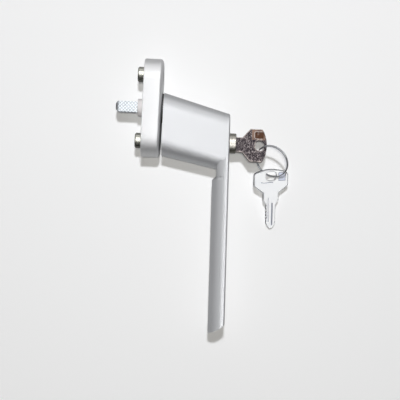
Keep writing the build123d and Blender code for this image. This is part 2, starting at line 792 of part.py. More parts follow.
# Split ring: two touching turns of wire with their ends stepped across.
# It lies in the key's hole and leans out of the sash plane.
ring_r = ring_mean_d / 2
ring_out = Vector(1, 0, 0).rotate(Axis.Y, ring_turn)
ring_rise = Vector(0, -1, 0).rotate(Axis((0, 0, 0), ring_out), ring_lean - 90)
ring_pass = key_plane.from_local_coords((ring_pass_s, ring_pass_y, 0))
ring_centre = ring_pass + ring_out * ring_r
ring_plane = Plane(ring_centre, x_dir=ring_out, z_dir=ring_out.cross(ring_rise))
with BuildPart() as key_ring:
    with BuildSketch(Plane(ring_centre, x_dir=ring_out, z_dir=ring_rise)):
        for side in (1, -1):
            with Locations((ring_r, side * ring_turn_pitch / 2)):
                RegularPolygon(
                    ring_wire_d / 2, ring_wire_sides, major_radius=False,
                    rotation=180 / ring_wire_sides)
    revolve(axis=Axis(ring_centre, ring_plane.z_dir))
    for side, angle in ((1, ring_end_angle), (-1, ring_end_angle + ring_end_step)):
        start = ring_plane.rotated((0, 0, angle))
        with BuildSketch(start):
            with Locations((ring_r, 0)):
                Rectangle(2 * ring_wire_d, ring_end_gap)
        extrude(amount=side * 2 * ring_wire_d, mode=Mode.SUBTRACT)
save(key_ring.part, "key_ring")

# Spare key, hanging on the far side of the ring and leaning back to the sash
spare_pass = (
    ring_centre + ring_out * ring_r * sin(radians(spare_round))
    - ring_rise * ring_r * cos(radians(spare_round)))
spare_down = Vector(0, 0, -1).rotate(Axis.X, spare_lean).rotate(Axis.Y, -spare_swing)
spare_face = Vector(0, -1, 0).rotate(Axis.X, spare_lean).rotate(Axis.Y, -spare_swing)
spare_face = spare_face.rotate(Axis((0, 0, 0), spare_down), -spare_roll)
flat = Plane((0, 0, 0), x_dir=spare_down, z_dir=spare_face)
spare_plane = Plane(
    spare_pass - flat.x_dir * spare_pass_s - flat.y_dir * spare_pass_y,
    x_dir=spare_down, z_dir=spare_face)
save(cut_key(spare_plane), "spare_key")
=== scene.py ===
import math

import bmesh
import bpy
from mathutils import Matrix, Vector


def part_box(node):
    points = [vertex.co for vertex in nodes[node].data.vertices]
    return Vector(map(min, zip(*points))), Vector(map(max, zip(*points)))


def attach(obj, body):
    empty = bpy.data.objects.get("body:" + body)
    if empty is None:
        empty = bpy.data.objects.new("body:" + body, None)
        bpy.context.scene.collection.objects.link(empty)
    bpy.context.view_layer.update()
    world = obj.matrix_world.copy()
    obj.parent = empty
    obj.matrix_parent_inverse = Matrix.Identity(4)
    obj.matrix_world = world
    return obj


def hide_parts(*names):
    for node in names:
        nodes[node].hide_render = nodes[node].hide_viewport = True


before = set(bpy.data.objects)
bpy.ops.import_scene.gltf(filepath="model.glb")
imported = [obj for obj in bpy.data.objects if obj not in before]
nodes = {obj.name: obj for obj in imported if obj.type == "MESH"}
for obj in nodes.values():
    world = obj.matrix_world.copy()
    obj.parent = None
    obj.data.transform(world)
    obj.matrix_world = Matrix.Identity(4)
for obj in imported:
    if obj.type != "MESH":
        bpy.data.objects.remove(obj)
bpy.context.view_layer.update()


def addObject(name, data):
    made = bpy.data.objects.new(name, data)
    bpy.context.scene.collection.objects.link(made)
    return made


# The turn that lays x along the first direction and y along the second
def turnTo(first, second):
    first, second = Vector(first).normalized(), Vector(second).normalized()
    return Matrix((first, second, first.cross(second))).transposed().to_4x4()


# Camera, as photographed: the handle lies on its side and is seen from straight above
photoView = {
    "eye": (0.0399, -0.650, -0.05825),
    "right": (0.99875, 0.0, 0.0499),
    "up": (-0.0499, 0.0, 0.99875),
    "frameWidth": 0.2606,  # at the handle's middle plane
    "sensorWidth": 36.0,
    "clip": (0.02, 20.0),
}


def makeCamera(view):
    data = bpy.data.cameras.new("photoCamera")
    data.sensor_width = view["sensorWidth"]
    data.lens = view["sensorWidth"] * -view["eye"][1] / view["frameWidth"]
    data.clip_start, data.clip_end = view["clip"]
    camera = addObject("photoCamera", data)
    camera.matrix_world = Matrix.Translation(view["eye"]) @ turnTo(view["right"], view["up"])
    bpy.context.scene.camera = camera


makeCamera(photoView)
print("camera ready")


# Node maths: a socket that takes Python's operators and adds the Math nodes
class Val:
    def __init__(self, mat, socket):
        self.mat = mat
        self.socket = socket

    def math(self, operation, other=None, flip=False):
        node = self.mat.tree.nodes.new("ShaderNodeMath")
        node.operation = operation
        values = [self] if other is None else [self, other]
        if flip:
            values.reverse()
        for place, value in enumerate(values):
            self.mat.feed(node.inputs[place], value)
        return Val(self.mat, node.outputs[0])

    def __add__(self, other):
        return self.math("ADD", other)

    def __sub__(self, other):
        return self.math("SUBTRACT", other)

    def __rsub__(self, other):
        return self.math("SUBTRACT", other, flip=True)

    def __mul__(self, other):
        return self.math("MULTIPLY", other)

    def __pow__(self, other):
        return self.math("POWER", other)

    def __gt__(self, other):
        return self.math("GREATER_THAN", other)

    def __lt__(self, other):
        return self.math("LESS_THAN", other)

    def near(self, middle, reach):
        return (self - middle).math("ABSOLUTE") < reach

    def around(self, middle, spread):
        return self * spread + (middle - spread / 2)


class Made:
    def __init__(self, mat, node):
        self.mat = mat
        self.node = node

    def out(self, name=0):
        return Val(self.mat, self.node.outputs[name])


class Nodes:
    def __init__(self, tree):
        self.tree = tree
        tree.nodes.clear()

    def feed(self, socket, value):
        if isinstance(value, Val):
            self.tree.links.new(value.socket, socket)
        else:
            socket.default_value = value

    # An input is named by its label with _ for a space, or by i and its number
    def add(self, kind, settings=None, **inputs):
        node = self.tree.nodes.new(kind)
        for name, value in (settings or {}).items():
            setattr(node, name, value)
        for name, value in inputs.items():
            key = int(name[1:]) if name[1:].isdigit() else name.replace("_", " ")
            self.feed(node.inputs[key], value)
        return Made(self, node)

    def end(self, kind, shader):
        self.feed(self.add(kind).node.inputs["Surface"], shader.out())

    def finish(self, **inputs):
        self.end("ShaderNodeOutputMaterial", self.add("ShaderNodeBsdfPrincipled", **inputs))

    def place(self):
        return self.add("ShaderNodeTexCoord").out("Object")

    def stretch(self, scale):
        return self.add("ShaderNodeMapping", Vector=self.place(), Scale=scale).out("Vector")

    def split(self, vector, axes="XYZ"):
        made = self.add("ShaderNodeSeparateXYZ", Vector=vector)
        return [made.out(axis) for axis in axes]

    def attribute(self, name, output="Fac"):
        return self.add("ShaderNodeAttribute", {"attribute_name": name}).out(output)

    def noise(self, scale, detail=2.0, where=None):
        where = where or self.place()
        return self.add("ShaderNodeTexNoise", Vector=where, Scale=scale, Detail=detail).out("Fac")

    def bump(self, height, distance, strength=0.5):
        return self.add(
            "ShaderNodeBump", Height=height, Distance=distance, Strength=strength).out("Normal")

    def smooth(self, value, low, high):
        return self.add(
            "ShaderNodeMapRange", {"interpolation_type": "SMOOTHSTEP"},
            Value=value, From_Min=low, From_Max=high).out()

    def ramp(self, factor, stops):
        made = self.add("ShaderNodeValToRGB", Fac=factor)
        elements = made.node.color_ramp.elements
        while len(elements) < len(stops):
            elements.new(0.5)
        for element, (position, tone) in zip(elements, stops):
            element.position = position
            element.color = (tone, tone, tone, 1.0)
        return made.out("Color")

    def tones(self, factor, first, second):
        first, second = (tone if isinstance(tone, Val) else (*tone, 1.0) for tone in (first, second))
        mixed = self.add("ShaderNodeMix", {"data_type": "RGBA"}, Factor=factor, i6=first, i7=second)
        return mixed.out(2)


def newFinish(name):
    material = bpy.data.materials.new(name)
    material.use_nodes = True
    return material, Nodes(material.node_tree)


# Satin silver anodising on the castings; the rosette's is painted paler, as painted light, though it is the
# same anodising as the lever's
leverSpec = {
    "tone": (0.80, 0.81, 0.83), "dullTone": (0.755, 0.765, 0.785),
    "roughness": 0.44, "cloudSpread": 0.06, "grainSpread": 0.04,
    "cloudScale": 22.0, "grainScale": 5200.0, "grainHeight": 0.000006,
}
# Painted light: the rosette's tones are paler than the lever's
rosettePaintedPaleSpec = {**leverSpec, "tone": (0.96, 0.965, 0.975), "dullTone": (0.92, 0.925, 0.935)}


def satinAluminium(name, spec):
    material, mat = newFinish(name)
    cloud = mat.noise(spec["cloudScale"], 3.0)
    grain = mat.noise(spec["grainScale"])
    mat.finish(
        Base_Color=mat.tones(cloud, spec["dullTone"], spec["tone"]),
        Metallic=1.0,
        Roughness=cloud.around(spec["roughness"], spec["cloudSpread"])
        + grain.around(0.0, spec["grainSpread"]),
        Normal=mat.bump(grain, spec["grainHeight"]),
    )
    return material


# Plain metals, the same all over but for a faint cloud and grain
metalSpec = {"cloudScale": 160.0, "grainHeight": 0.000006, "spread": 0.12, "stretch": (1.0, 1.0, 1.0)}
metals = {
    "zincPlate": {
        "tone": (0.80, 0.84, 0.88), "dullTone": (0.66, 0.70, 0.74), "roughness": 0.32,
        "grainScale": 2400.0, "stretch": (0.3, 1.0, 1.0)},
    "turnedSteel": {
        "tone": (0.58, 0.57, 0.49), "dullTone": (0.40, 0.39, 0.32), "roughness": 0.14,
        "grainScale": 3000.0, "stretch": (1.0, 0.1, 0.1)},
    "springSteel": {
        "tone": (0.30, 0.30, 0.31), "dullTone": (0.22, 0.22, 0.23), "roughness": 0.30,
        "grainScale": 2000.0},
    "satinNickel": {
        "tone": (0.60, 0.57, 0.52), "dullTone": (0.50, 0.47, 0.42), "roughness": 0.27,
        "grainScale": 2600.0},
    "waferBrass": {
        "tone": (0.78, 0.60, 0.28), "dullTone": (0.66, 0.48, 0.20), "roughness": 0.34,
        "grainScale": 2600.0},
    "ringSteel": {
        "tone": (0.55, 0.56, 0.58), "dullTone": (0.42, 0.43, 0.45), "roughness": 0.18,
        "grainScale": 2600.0},
}


def plainMetal(name, spec):
    material, mat = newFinish(name)
    grain = mat.noise(spec["grainScale"], 3.0, mat.stretch(spec["stretch"]))
    cloud = mat.noise(spec["cloudScale"], 3.0)
    mat.finish(
        Base_Color=mat.tones(cloud, spec["dullTone"], spec["tone"]),
        Metallic=1.0,
        Roughness=grain.around(spec["roughness"], spec["spread"]),
        Normal=mat.bump(grain, spec["grainHeight"]),
    )
    return material


# Moulded nylon of the spindle's bush and of the slide ring
nylonSpec = {"cloudScale": 120.0, "grainScale": 2600.0, "grainHeight": 0.00001, "bump": 0.4, "spread": 0.1}
nylons = {
    "naturalNylon": {"tone": (0.74, 0.71, 0.70), "dullTone": (0.68, 0.65, 0.64), "roughness": 0.42},
    "blackNylon": {"tone": (0.030, 0.030, 0.031), "dullTone": (0.022, 0.022, 0.023), "roughness": 0.40},
}


def mouldedNylon(name, spec):
    material, mat = newFinish(name)
    grain = mat.noise(spec["grainScale"])
    cloud = mat.noise(spec["cloudScale"])
    mat.finish(
        Base_Color=mat.tones(cloud, spec["dullTone"], spec["tone"]),
        Roughness=grain.around(spec["roughness"], spec["spread"]),
        Normal=mat.bump(grain, spec["grainHeight"], spec["bump"]),
    )
    return material


# Zinc plate of the spindle, with the fine crossed marks of its drawing die and a dark tip that is painted
# shade on its rounded end
crossedSpec = {
    "tone": (0.90, 0.95, 0.99), "markTone": (0.50, 0.54, 0.58), "endTone": (0.20, 0.20, 0.19),
    "roughness": 0.34, "spread": 0.2,
    "pitch": 0.0022, "markFrom": 1.1, "markTo": 1.9, "markDepth": 0.00004,
    "speckScale": 1500.0, "speckShare": 1.6,
    "tipAt": -0.0166, "tipBlend": 0.0008,
}


def crossedZinc(spec):
    material, mat = newFinish("crossedZinc")
    x, z = mat.split(mat.place(), "XZ")
    turns = 2.0 * math.pi / spec["pitch"]
    rising = ((x + z) * turns).math("SINE")
    falling = ((x - z) * turns).math("SINE")
    speck = mat.noise(spec["speckScale"], 3.0)
    crossed = rising.math("MAXIMUM", falling) + speck * spec["speckShare"]
    marks = mat.smooth(crossed, spec["markFrom"], spec["markTo"])
    plain = mat.tones(marks, spec["tone"], spec["markTone"])
    # Painted shade: darker over the last bit of the rounded tip
    mixShare = mat.smooth(x * -1.0, -spec["tipAt"], spec["tipBlend"] - spec["tipAt"])
    mat.finish(
        Base_Color=mat.tones(mixShare, plain, spec["endTone"]),
        Metallic=1.0,
        Roughness=speck.around(spec["roughness"], spec["spread"]),
        Normal=mat.bump(marks, spec["markDepth"]),
    )
    return material


# Sleeves and plug head: a painted highlight band above the axis and painted shade on the lower half,
# standing for reflections. The tones run from one reach below the piece's axis to one reach above it
sleeveSpec = {
    "tone": (0.95, 0.95, 0.86), "darkTone": (0.02, 0.02, 0.015), "roughness": 0.20, "spread": 0.12,
    "grainScale": 1800.0, "stretch": (1.0, 0.1, 0.1), "grainBlur": 0.04,
    "axesAt": (-0.0215, 0.0215), "reach": 0.006,  # of the lower and the upper one
    "tones": (
        (0.0, 0.30), (0.14, 0.17), (0.33, 0.10), (0.41, 0.22), (0.48, 0.90), (0.54, 1.0),
        (0.63, 0.62), (1.0, 0.42)),
}
noseSpec = {
    "tone": (0.64, 0.615, 0.565), "darkTone": (0.10, 0.095, 0.075), "roughness": 0.28, "spread": 0.12,
    "grainScale": 2200.0, "stretch": (1.0, 0.3, 0.3), "grainBlur": 0.05,
    "axesAt": (-0.0204, -0.0204), "reach": 0.0066,
    "tones": (
        (0.0, 0.16), (0.16, 0.17), (0.30, 0.5), (0.45, 0.95), (0.60, 1.0), (0.74, 0.74),
        (0.88, 0.52), (1.0, 0.58)),
}


def paintedSheenMetal(name, spec):
    material, mat = newFinish(name)
    (z,) = mat.split(mat.place(), "Z")
    lower, upper = spec["axesAt"]
    above = z - lower - (z > 0.0) * (upper - lower)
    grain = mat.noise(spec["grainScale"], 2.0, mat.stretch(spec["stretch"]))
    # Painted highlight and painted shade by height about each axis
    height = above * (0.5 / spec["reach"]) + grain.around(0.5, spec["grainBlur"])
    mat.finish(
        Base_Color=mat.tones(mat.ramp(height, spec["tones"]), spec["darkTone"], spec["tone"]),
        Metallic=1.0,
        Roughness=grain.around(spec["roughness"], spec["spread"]),
    )
    return material


finishes = {
    "leverSatin": satinAluminium("leverSatin", leverSpec),
    "rosetteSatinPaintedPale": satinAluminium("rosetteSatinPaintedPale", rosettePaintedPaleSpec),
    "crossedZinc": crossedZinc(crossedSpec),
    "steelPaintedSheen": paintedSheenMetal("steelPaintedSheen", sleeveSpec),
    "nickelPaintedSheen": paintedSheenMetal("nickelPaintedSheen", noseSpec),
}
for name, spec in metals.items():
    finishes[name] = plainMetal(name, {**metalSpec, **spec})
for name, spec in nylons.items():
    finishes[name] = mouldedNylon(name, {**nylonSpec, **spec})


# A piece with its modifiers becomes a plain mesh
def settle(piece):
    view = bpy.context.evaluated_depsgraph_get()
    mesh = bpy.data.meshes.new_from_object(piece.evaluated_get(view))
    piece.modifiers.clear()
    piece.data = mesh
    return mesh


# Wire pieces: one Geometry Nodes coil for the split ring and the detent's springs. The jog sets the
# second half of the turns beside the first, as on a split ring
coilShape = {"resolution": 72, "sides": 14, "jogFrom": 0.42, "jogTo": 0.58}


def makeCoilTree(shape):
    group = bpy.data.node_groups.new("wireCoil", "GeometryNodeTree")

    def socket(label, kind, side="INPUT"):
        return group.interface.new_socket(label, in_out=side, socket_type="NodeSocket" + kind).identifier

    socket("Geometry", "Geometry", "OUTPUT")
    sockets = {"Geometry": socket("Geometry", "Geometry")}
    for label in ("turns", "firstRadius", "lastRadius", "rise", "jog", "wireRadius"):
        sockets[label] = socket(label, "Float")
    sockets["finish"] = socket("finish", "Material")
    coil = Nodes(group)
    given = coil.add("NodeGroupInput")
    path = coil.add(
        "GeometryNodeCurveSpiral", Resolution=shape["resolution"], Rotations=given.out("turns"),
        Start_Radius=given.out("firstRadius"), End_Radius=given.out("lastRadius"),
        Height=given.out("rise")).out("Curve")
    along = coil.add("GeometryNodeSplineParameter").out("Factor")
    halfway = coil.smooth(along, shape["jogFrom"], shape["jogTo"])
    offset = coil.add("ShaderNodeCombineXYZ", Z=(halfway - 0.5) * given.out("jog")).out()
    path = coil.add("GeometryNodeSetPosition", Geometry=path, Offset=offset).out("Geometry")
    section = coil.add(
        "GeometryNodeCurvePrimitiveCircle", Resolution=shape["sides"],
        Radius=given.out("wireRadius")).out("Curve")
    wire = coil.add("GeometryNodeCurveToMesh", i0=path, Profile_Curve=section, Fill_Caps=True).out("Mesh")
    whole = coil.add("GeometryNodeRealizeInstances", Geometry=wire).out("Geometry")
    shown = coil.add("GeometryNodeSetMaterial", Geometry=whole, Material=given.out("finish"))
    coil.feed(coil.add("NodeGroupOutput").node.inputs[0], shown.out("Geometry"))
    return group, sockets


coilTree, coilSockets = makeCoilTree(coilShape)


def makeCoil(node, body, values, finish, turn):
    piece = addObject(node + "Wire", bpy.data.meshes.new("empty"))
    coil = piece.modifiers.new("coil", "NODES")
    coil.node_group = coilTree
    for label, value in {**values, "finish": finish}.items():
        coil[coilSockets[label]] = value
    mesh = settle(piece)
    mesh.transform(turn)
    mesh.shade_smooth()
    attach(piece, body)
    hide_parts(node)


ringSpec = {
    "centre": (0.0853389, -0.000991858, -0.0308079),
    "out": (0.72176, 0.0, -0.69214), "rise": (0.530212, -0.642788, 0.552900),
    "startAngle": 172.0,
    "coil": {
        "turns": 1.93, "firstRadius": 0.0111, "lastRadius": 0.01085, "rise": 0.0,
        "jog": 0.00080, "wireRadius": 0.0004},
}
springSpec = {"turns": 3.6, "jog": 0.0, "wireRadius": 0.0002}


def ringMatrix(spec):
    start = Matrix.Rotation(math.radians(spec["startAngle"]), 4, "Z")
    return Matrix.Translation(spec["centre"]) @ turnTo(spec["out"], spec["rise"]) @ start


makeCoil("key_ring", "ring", ringSpec["coil"], finishes["ringSteel"], ringMatrix(ringSpec))
for node in ("detent_spring_upper", "detent_spring_lower"):
    low, high = (Vector(corner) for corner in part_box(node))
    wire = springSpec["wireRadius"]
    reach = (high.x - low.x) / 2 - wire
    rise = high.z - low.z - 2 * wire
    values = {**springSpec, "firstRadius": reach, "lastRadius": reach, "rise": rise}
    middle = (low + high) / 2
    foot = Matrix.Translation((middle.x, middle.y, low.z + wire))
    makeCoil(node, "root", values, finishes["springSteel"], foot)
print("wires ready")


# Copies of solids that carry a little more form than the solids do
copySpec = {"weld": 0.000001, "flatWithin": math.radians(1.0)}


def mergedCopy(node):
    work = bmesh.new()
    work.from_mesh(nodes[node].data)
    work.transform(nodes[node].matrix_world)
    bmesh.ops.remove_doubles(work, verts=work.verts, dist=copySpec["weld"])
    return work


def joinFlats(work):
    bmesh.ops.dissolve_limit(
        work, angle_limit=copySpec["flatWithin"], verts=work.verts, edges=work.edges)


def addPiece(name, work, body, hidden, finish, sharpAbove):
    mesh = bpy.data.meshes.new(name)
    work.to_mesh(mesh)
    work.free()
    mesh.materials.append(finish)
    mesh.shade_smooth()
    mesh.set_sharp_from_angle(angle=math.radians(sharpAbove))
    piece = addObject(name, mesh)
    weighted = piece.modifiers.new("weighted", "WEIGHTED_NORMAL")  # keeps flats flat beside roundings
    weighted.keep_sharp = True
    settle(piece)
    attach(piece, body)
    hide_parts(hidden)


# Rosette with a fuller rounding of its front edge
rosetteShape = {
    "front": 0.0122, "halfStraight": 0.017, "cadEdge": 0.0012, "deep": 0.0019, "inward": 0.0036,
    "backRows": 0.0005, "slack": 0.00001, "inwardSlack": 0.0001, "sharpAbove": 30.0,
}


def roundRosette(shape):
    work = mergedCopy("rosette")
    front, half, edge, slack = (shape[key] for key in ("front", "halfStraight", "cadEdge", "slack"))

    def reach(vert):
        return math.hypot(vert.co.y, max(abs(vert.co.z) - half, 0.0))

    back = max(reach(v) for v in work.verts if v.co.x < shape["backRows"])
    side = max(reach(v) for v in work.verts if v.co.x > front - edge - slack)
    taper = (back - side) / (front - edge)
    for vert in work.verts:
        was = reach(vert)
        deep, inward = front - vert.co.x, side - was
        if -slack < deep < edge + slack and inward < edge + shape["inwardSlack"]:
            newDeep = deep / edge * shape["deep"]
            now = side + (newDeep - deep) * taper - inward / edge * shape["inward"]
            middleZ = max(-half, min(vert.co.z, half))
            z = middleZ + (vert.co.z - middleZ) * now / was
            vert.co = Vector((front - newDeep, vert.co.y * now / was, z))
    return work


addPiece(
    "rosetteShown", roundRosette(rosetteShape), "root", "rosette", finishes["rosetteSatinPaintedPale"],
    rosetteShape["sharpAbove"])

# Lever whose link has the grip's section with its back cut flat, up to the seam with the neck
leverShape = {
    "half": 0.010, "side": 0.0015, "cornerTurn": 50.0, "gripThickness": 0.0106, "linkThickness": 0.0080,
    "linkFrom": -0.0445, "linkTo": -0.0303, "fadeOver": 0.0022, "near": 0.00003,
    "frontNormal": 0.9, "sharpAbove": 30.0,
}


# Depth of the section behind its flat front: three tangent arcs, as deep as the thickness
def depthAt(y, thickness, shape):
    half, side, turn = shape["half"], shape["side"], math.radians(shape["cornerTurn"])
    slope = math.tan(math.radians(45.0) - turn / 2.0)
    corner = (thickness - side - half * slope) / (math.sin(turn) - slope * (1.0 - math.cos(turn)))
    meetDepth = side + corner * math.sin(turn)
    meetY = half - corner * (1.0 - math.cos(turn))
    if abs(y) > meetY:
        return side + math.sqrt(max(corner ** 2 - (abs(y) - half + corner) ** 2, 0.0))
    sagitta = thickness - meetDepth
    radius = (meetY ** 2 + sagitta ** 2) / (2.0 * sagitta)
    return thickness - radius + math.sqrt(radius ** 2 - y ** 2)


def flatBackLever(shape):
    work = mergedCopy("lever")
    work.normal_update()
    facing = [f for f in work.faces if f.normal.x > shape["frontNormal"]]
    front = max(facing, key=lambda f: f.calc_area())
    level = front.normal.dot(front.verts[0].co)
    for vert in work.verts:
        if not (shape["linkFrom"] < vert.co.z < shape["linkTo"] and abs(vert.co.y) < shape["half"]):
            continue
        depth = level - front.normal.dot(vert.co)
        if abs(depth - depthAt(vert.co.y, shape["linkThickness"], shape)) < shape["near"]:
            wanted = min(depthAt(vert.co.y, shape["gripThickness"], shape), shape["linkThickness"])
            share = min((shape["linkTo"] - vert.co.z) / shape["fadeOver"], 1.0)
            vert.co -= front.normal * ((wanted - depth) * share)
    return work


addPiece(
    "leverShown", flatBackLever(leverShape), "lever", "lever", finishes["leverSatin"],
    leverShape["sharpAbove"])

# Spindle with its bevelled tip rounded
spindleShape = {"tipReach": 0.00155, "bendAbove": 20.0, "bevel": 0.0007, "segments": 4, "sharpAbove": 25.0}


def roundSpindle(shape):
    work = mergedCopy("spindle")
    joinFlats(work)
    tipEnd = min(v.co.x for v in work.verts) + shape["tipReach"]
    bend = math.radians(shape["bendAbove"])
    edges = [e for e in work.edges if all(v.co.x < tipEnd for v in e.verts)
             and len(e.link_faces) == 2 and e.calc_face_angle() > bend]
    bmesh.ops.bevel(
        work, geom=edges, offset=shape["bevel"], segments=shape["segments"], profile=0.5,
        affect="EDGES")
    bmesh.ops.triangulate(work, faces=work.faces)
    return work


addPiece(
    "spindleShown", roundSpindle(spindleShape), "lever", "spindle", finishes["crossedZinc"],
    spindleShape["sharpAbove"])
print("castings ready")


# Keys: bevelled copies that carry their own flat coordinates in millimetres. The corner is the middle
# of the bow's outer edge, along runs to the blade's tip and across over the bow
keyPlanes = {
    "key": {
        "corner": (0.0815273, -0.00030786, -0.0212457),
        "along": (-1.0, 0.0, 0.0), "across": (0.0, -0.34202, -0.93969), "flushPad": False,
    },
    "spare_key": {
        "corner": (0.0853481, 0.0031385, -0.0357586),
        "along": (0.048869, 0.258819, -0.964689), "across": (0.981273, 0.167731, 0.094710),
        "flushPad": True,  # its pad is painted on the other half
    },
}
keyShape = {
    "halfThickness": 1.0, "bevel": 0.14, "segments": 2, "rim": 0.42, "rimShare": 0.6,
    "bladeFrom": 18.0, "bladeHalf": 2.7, "padTo": 9.0, "padFloor": 0.7,
    "slack": 0.01, "weld": 0.001, "flatNormal": 0.99, "sideNormal": 0.8, "sharpAbove": 20.0,
}


def makeKey(node, plane, shape):
    toWorld = Matrix.Translation(plane["corner"]) @ turnTo(plane["along"], plane["across"])
    toWorld = toWorld @ Matrix.Scale(0.001, 4)
    work = mergedCopy(node)
    rimLayer = work.faces.layers.float.new("rim")
    placeLayer = work.verts.layers.float_vector.new("keyPlace")
    work.transform(toWorld.inverted())
    half, slack = shape["halfThickness"], shape["slack"]
    if plane["flushPad"]:
        for vert in work.verts:
            if vert.co.x < shape["padTo"] and abs(abs(vert.co.z) - shape["padFloor"]) < slack:
                vert.co.z = math.copysign(half, vert.co.z)
        bmesh.ops.remove_doubles(work, verts=work.verts, dist=shape["weld"])
    joinFlats(work)
    bmesh.ops.triangulate(work, faces=work.faces)
    work.normal_update()

    def isFace(face):
        flat = abs(face.normal.z) > shape["flatNormal"]
        return flat and all(abs(abs(v.co.z) - half) < slack for v in face.verts)

    edges = [e for e in work.edges if len(e.link_faces) == 2 and sum(isFace(f) for f in e.link_faces) == 1]
    bmesh.ops.bevel(
        work, geom=edges, offset=shape["bevel"], segments=shape["segments"], profile=0.5,
        affect="EDGES")
    work.normal_update()
    flats = [f for f in work.faces if isFace(f)]
    ring = bmesh.ops.inset_region(work, faces=flats, thickness=shape["rim"], use_even_offset=True)
    for face in ring["faces"]:
        middle = face.calc_center_median()
        onBlade = middle.x > shape["bladeFrom"] and abs(middle.y) < shape["bladeHalf"]
        face[rimLayer] = 0.0 if onBlade else shape["rimShare"]
    for face in work.faces:
        if abs(face.normal.z) < shape["sideNormal"]:
            face[rimLayer] = 1.0
    for vert in work.verts:
        vert[placeLayer] = vert.co
    work.transform(toWorld)
    return work


def inPatch(along, across, patch):
    return along.near(patch["along"], patch["halfLength"]) * across.near(patch["across"], patch["halfWidth"])


# The key in the lock: painted dark, as a painted dark reflection; its rim and the frame of its pad paler,
# partly rubbed and partly a painted highlight
wornPaintedDarkKeySpec = {
    # dark is a painted dark reflection; rim and padFrame are paler, partly rubbed and partly painted
    # highlight
    "dark": (0.034, 0.028, 0.033), "speck": (0.37, 0.32, 0.32), "rim": (0.52, 0.46, 0.43),
    "pad": (0.085, 0.040, 0.024), "padFrame": (0.25, 0.165, 0.125),
    "padPatch": {"along": 5.4, "across": -7.4, "halfLength": 4.3, "halfWidth": 3.5},
    "padHalf": 0.8,  # half the thickness at the sunk pad, rounded up
    "metallic": 0.9, "roughness": 0.365, "spread": 0.15,
    "speckScale": 1500.0, "cloudScale": 260.0, "rimFrom": 3.0, "rimLeast": 0.3,
    # Where each kind of wear and painted highlight begins and where it is full, in the noise's own measure
    "cloudShare": 0.2, "otherShare": 0.5,
    "speckWear": (0.56, 0.80), "frameWearAndSheen": (0.40, 0.80), "padWear": (0.20, 0.45),
    "rimWearAndSheen": (0.50, 0.78),
}


def wornPaintedDarkKeyFinish(spec):
    material, mat = newFinish("wornPaintedDarkKey")
    along, across, up = mat.split(mat.attribute("keyPlace", "Vector"))
    specks = mat.noise(spec["speckScale"])
    cloud = mat.noise(spec["cloudScale"], 3.0)
    mixShare = mat.smooth(specks + cloud * spec["cloudShare"], *spec["speckWear"])
    plain = mat.tones(mixShare, spec["dark"], spec["speck"])
    atPad = inPatch(along, across, spec["padPatch"])
    # The pad's frame: paler, partly rubbed and partly a painted highlight on its bevel
    framed = atPad * mat.smooth(cloud + specks * spec["otherShare"], *spec["frameWearAndSheen"])
    plain = mat.tones(framed, plain, spec["padFrame"])
    sunk = atPad * up.near(0.0, spec["padHalf"]) * mat.smooth(cloud, *spec["padWear"])
    plain = mat.tones(sunk, plain, spec["pad"])
    # The rim: paler, partly rubbed and partly a painted highlight on the bevel
    onRim = (mat.attribute("rim") > spec["rimLeast"]) * (along > spec["rimFrom"])
    rubbedAndLit = onRim * mat.smooth(specks + cloud * spec["otherShare"], *spec["rimWearAndSheen"])
    mat.finish(
        Base_Color=mat.tones(rubbedAndLit, plain, spec["rim"]),
        Metallic=spec["metallic"],
        Roughness=cloud.around(spec["roughness"], spec["spread"]),
    )
    return material


# The spare one: a plate painted bright as a painted reflection, nearly as pale as the table, with painted
# shade as a dark line round its edge
palePaintedSheenKeySpec = {
    # rim: painted shade along the edges; mark: painted shade round the flattened pad and in the groove, and
    # the wavy line's tone
    "tone": (0.985, 0.995, 1.0), "dullTone": (0.94, 0.955, 0.97), "rim": (0.10, 0.105, 0.12),
    "pad": (0.66, 0.70, 0.82), "mark": (0.30, 0.31, 0.36),
    "padFrame": {"along": 5.0, "across": 7.2, "halfLength": 2.9, "halfWidth": 2.4},
    "padPatch": {"along": 5.0, "across": 7.2, "halfLength": 2.5, "halfWidth": 2.0},
    "hole": {"along": 4.55, "across": 0.0, "halfLength": 3.65, "halfWidth": 4.4},
    "wavyLine": {"along": 7.6, "wander": 2.4, "halfWidth": 0.26, "across": (-7.0, 1.5)},
    "groove": {"from": 18.0, "halfDepth": 0.85, "halfWidth": 2.5, "faint": 0.25, "strong": 0.75},
    "cloudLimits": (0.35, 0.60),
    "bladeFrom": 19.0, "breakScale": 900.0, "breakLimits": (0.45, 0.50), "faceRim": 0.8,
    "rimAtHole": 0.4, "rimBroken": 0.2,
    # glow gives the plate a faint light of its own: painted light
    "metallic": 0.9, "roughness": 0.345, "spread": 0.15, "glow": 0.11, "cloudScale": 180.0,
}


